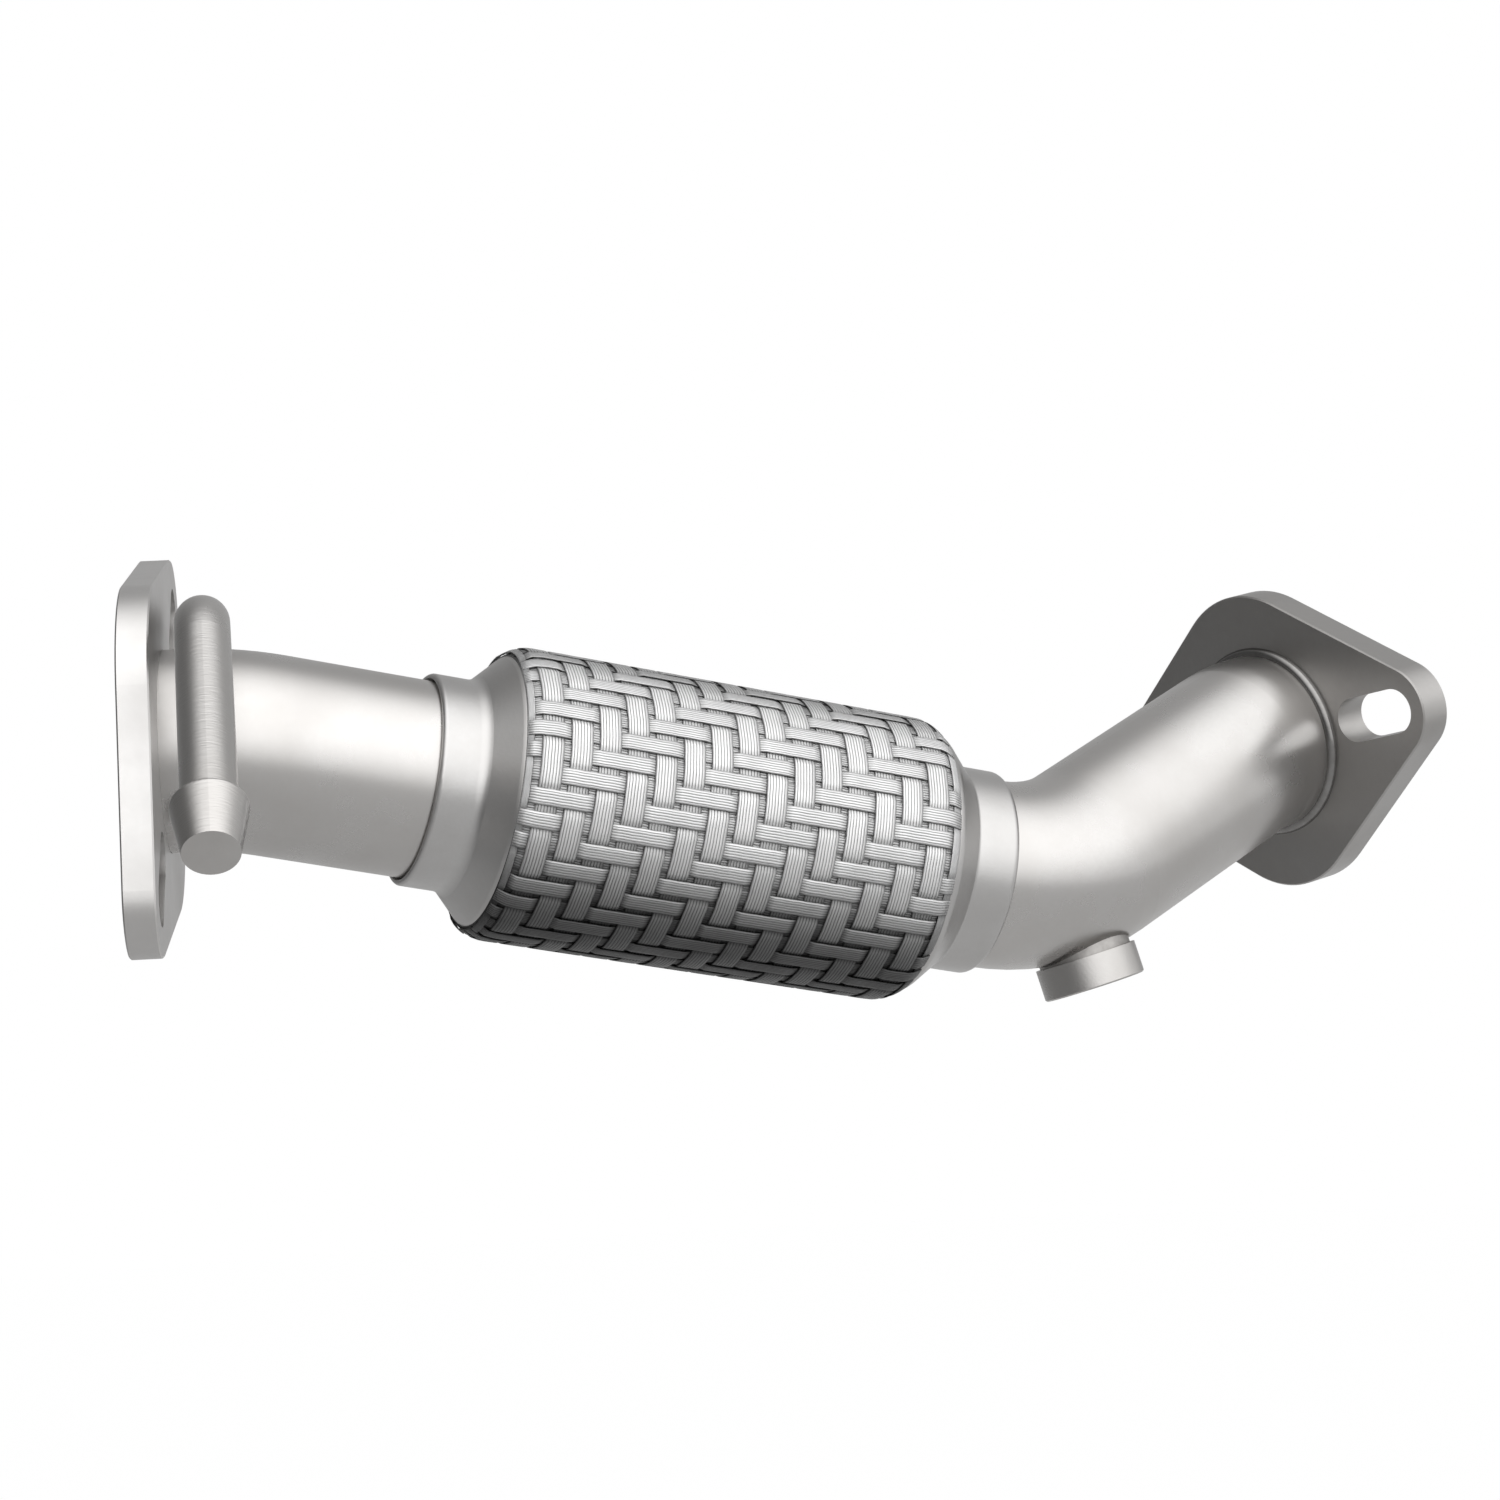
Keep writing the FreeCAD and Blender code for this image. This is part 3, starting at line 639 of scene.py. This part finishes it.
row_wire = wire_material("braid_row_wire", grey(0.84), wave=0.04, wave_length=5.0)
hoop_wire = wire_material("braid_hoop_wire", grey(0.88), wave=0.03, wave_length=9.0)
under_wire = wire_material("braid_under_wire", grey(0.84), wave=0.06, wave_length=4.0)
for finish in (row_wire, hoop_wire, under_wire):
    sleeve.data.materials.append(finish)
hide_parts("flex_braid")
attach(sleeve, "root")
print("wire finishes:", [m.name for m in sleeve.data.materials])

# %% [markdown]
# ## The thread in the sensor boss
# The boss takes a sensor with an 18 mm thread. A thread is a ridge that climbs the bore's wall
# like a spiral stair. It could be painted on as a bump, but from below the bore is in plain
# sight, so it is modelled: a small triangle is spun about the boss's axis while each step of
# the spin also moves it forward, and its two ends are closed. The triangle's foot is sunk a
# little into the wall, so no gap shows.

# %% Cut the thread
THREAD_PITCH = 1.5
THREAD_TURNS = 7
THREAD_STEPS = 32
BORE_RADIUS = 8.2
THREAD_RISE, THREAD_SUNK = 0.75, 0.1
FOOT_SHARE = 0.42
BOSS_TOP, CLEAR_OF_TOP = 33.6, 1.2

screw = bmesh.new()
first = BOSS_TOP - CLEAR_OF_TOP - THREAD_TURNS * THREAD_PITCH
half = THREAD_PITCH * FOOT_SHARE
foot, crest = BORE_RADIUS + THREAD_SUNK, BORE_RADIUS - THREAD_RISE
corners = [(first - half, foot), (first, crest), (first + half, foot)]
profile = [screw.verts.new(boss_place @ Vector((x * MM, 0, r * MM))) for x, r in corners]
tooth = screw.faces.new(profile)
boss_axis = boss_place.to_3x3().col[0]
bmesh.ops.spin(
    screw, geom=[tooth, *tooth.edges, *tooth.verts], cent=boss_place.translation, axis=boss_axis,
    dvec=boss_axis * THREAD_PITCH * MM / THREAD_STEPS, angle=2 * math.pi * THREAD_TURNS,
    steps=THREAD_STEPS * THREAD_TURNS)
bmesh.ops.recalc_face_normals(screw, faces=screw.faces)
thread_data = bpy.data.meshes.new("boss_thread")
screw.to_mesh(thread_data)
screw.free()
thread = bpy.data.objects.new("boss_thread", thread_data)
bpy.context.scene.collection.objects.link(thread)
thread.data.materials.append(boss_steel)
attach(thread, "root")
print("thread:", len(thread_data.polygons), "faces")

# %% [markdown]
# ## The floor
# The part is held in the air, as in a catalogue picture, over a plain pale floor. Two floors
# share one disc. The camera sees white paper with the pipe's shadow on it, and shiny steel
# sees a share of that white, little of it on the dark left side and more towards the right.
# Light that bounces off the disc comes from a darker grey, so that the underside of the pipe
# keeps its shading. Two discs could do the same, but one with the Light Path node in its
# material is simpler. Seen from below, the floor is clear.

# %% Floor
FLOOR_RADIUS = 2.2
FLOOR_MIDDLE = (0.17, 0.1, -0.45)
PAPER_GREY, BOUNCE_GREY = (0.9, 0.9, 0.9, 1), (0.12, 0.12, 0.12, 1)
PAPER_GLOW = 0.9
LEFT_SHINE, RIGHT_SHINE = 0.05, 0.4
WHITE = (1, 1, 1, 1)


def is_seen(tree, glossy_share):
    """1 for the camera's rays and for light through glass, and a share of it for reflections."""
    path = add(tree, "ShaderNodeLightPath").outputs
    direct = math_node(tree, "MAXIMUM", path["Is Camera Ray"], path["Is Transmission Ray"])
    return math_node(tree, "MULTIPLY_ADD", path["Is Glossy Ray"], glossy_share, direct)


disc = bmesh.new()
bmesh.ops.create_circle(disc, cap_ends=True, segments=96, radius=FLOOR_RADIUS)
bmesh.ops.translate(disc, verts=disc.verts, vec=FLOOR_MIDDLE)
floor_data = bpy.data.meshes.new("floor")
disc.to_mesh(floor_data)
disc.free()
floor = bpy.data.objects.new("floor", floor_data)
bpy.context.scene.collection.objects.link(floor)
paper = bpy.data.materials.new("floor_paper")
paper.use_nodes = True
paper.cycles.emission_sampling = "NONE"
tree = paper.node_tree
tree.nodes.clear()
spot_on_floor = add(tree, "ShaderNodeTexCoord").outputs["Object"]
sideways = add(tree, "ShaderNodeSeparateXYZ", {0: spot_on_floor}).outputs["X"]
seen = is_seen(tree, spread(tree, sideways, -1.1, 0.3, LEFT_SHINE, RIGHT_SHINE))
pale = mixed(tree, seen, BOUNCE_GREY, PAPER_GREY)
matt = add(tree, "ShaderNodeBsdfDiffuse", {"Color": pale})
glow = add(tree, "ShaderNodeEmission", {"Color": WHITE, "Strength": 1.0})
share = math_node(tree, "MULTIPLY", seen, PAPER_GLOW)
plain = add(tree, "ShaderNodeMixShader", {0: share, 1: matt.outputs[0], 2: glow.outputs[0]})
clear = add(tree, "ShaderNodeBsdfTransparent")
below = add(tree, "ShaderNodeNewGeometry").outputs["Backfacing"]
both = add(tree, "ShaderNodeMixShader", {0: below, 1: plain.outputs[0], 2: clear.outputs[0]})
add(tree, "ShaderNodeOutputMaterial", {"Surface": both.outputs[0]})
floor.data.materials.append(paper)
print("floor:", 2 * FLOOR_RADIUS, "m across,", -FLOOR_MIDDLE[2], "m below the inlet plate")

# %% [markdown]
# ## The studio
# Steel shows what stands round it, so its look is the studio's look. A photographer would hang
# a very large soft light in front of the pipe, above it and to its right, and keep the left
# side dark, so that every tube gets one broad white band and every plate a dark face. Area
# lamps could do it, but the whole room fits in the world's nodes, drawn from the direction in
# which a ray leaves. What shines in the steel is a wide lamp, grey walls and a pale window at
# the far right. What falls on dull surfaces, such as the wire, is a tighter lamp in front and
# a fill light from behind.

# %% World
world = bpy.data.worlds.new("studio")
world.use_nodes = True
world.cycles.sampling_method = "NONE"
bpy.context.scene.world = world
tree = world.node_tree
tree.nodes.clear()
way = add(tree, "ShaderNodeTexCoord").outputs["Generated"]
part = add(tree, "ShaderNodeSeparateXYZ", {0: way}).outputs
LAMP_WAY = (0.22, -0.64, 0.735)
LAMP_LIGHT, LAMP_EDGE = 1.75, 0.25
KEY_LIGHT, KEY_EDGE, KEY_REST = 2.9, 0.6, 0.02
BACK_WAY = (-0.25, 0.9, 0.36)
BACK_LIGHT, BACK_EDGE = 1.9, 0.5
LEFT_WALL, FAR_WALL = 0.18, 0.52
RIGHT_WINDOW = 0.5


def soft_step(value, low, high, to_low, to_high):
    ends = {"Value": value, "From Min": low, "From Max": high, "To Min": to_low, "To Max": to_high}
    return add(tree, "ShaderNodeMapRange", ends, interpolation_type="SMOOTHSTEP").outputs["Result"]


def facing(direction):
    node = add(tree, "ShaderNodeVectorMath", {0: way, 1: direction}, operation="DOT_PRODUCT")
    return node.outputs["Value"]


lamp = soft_step(facing(LAMP_WAY), LAMP_EDGE, 1.0, 0, LAMP_LIGHT)
walls = soft_step(part["X"], -0.85, 0.2, LEFT_WALL, FAR_WALL)
window = soft_step(part["X"], 0.7, 1.0, 0, RIGHT_WINDOW)
room = math_node(tree, "ADD", math_node(tree, "ADD", lamp, walls), window)
key = soft_step(facing(LAMP_WAY), KEY_EDGE, 1.0, KEY_REST, KEY_LIGHT)
fill = soft_step(facing(BACK_WAY), BACK_EDGE, 1.0, 0, BACK_LIGHT)
bounce = math_node(tree, "ADD", key, fill)
path = add(tree, "ShaderNodeLightPath").outputs
strength = add(tree, "ShaderNodeMix", {0: path["Is Diffuse Ray"], 2: room, 3: bounce}).outputs[0]
studio = add(tree, "ShaderNodeBackground", {"Color": WHITE, "Strength": strength})
white = add(tree, "ShaderNodeBackground", {"Color": WHITE, "Strength": 1.0})
direct = math_node(tree, "MAXIMUM", path["Is Camera Ray"], path["Is Transmission Ray"])
both = add(tree, "ShaderNodeMixShader", {0: direct, 1: studio.outputs[0], 2: white.outputs[0]})
add(tree, "ShaderNodeOutputWorld", {"Surface": both.outputs[0]})
bpy.context.scene.view_settings.view_transform = "Standard"
print("studio: lamp", LAMP_LIGHT, "walls", LEFT_WALL, "to", FAR_WALL, "fill", BACK_LIGHT)
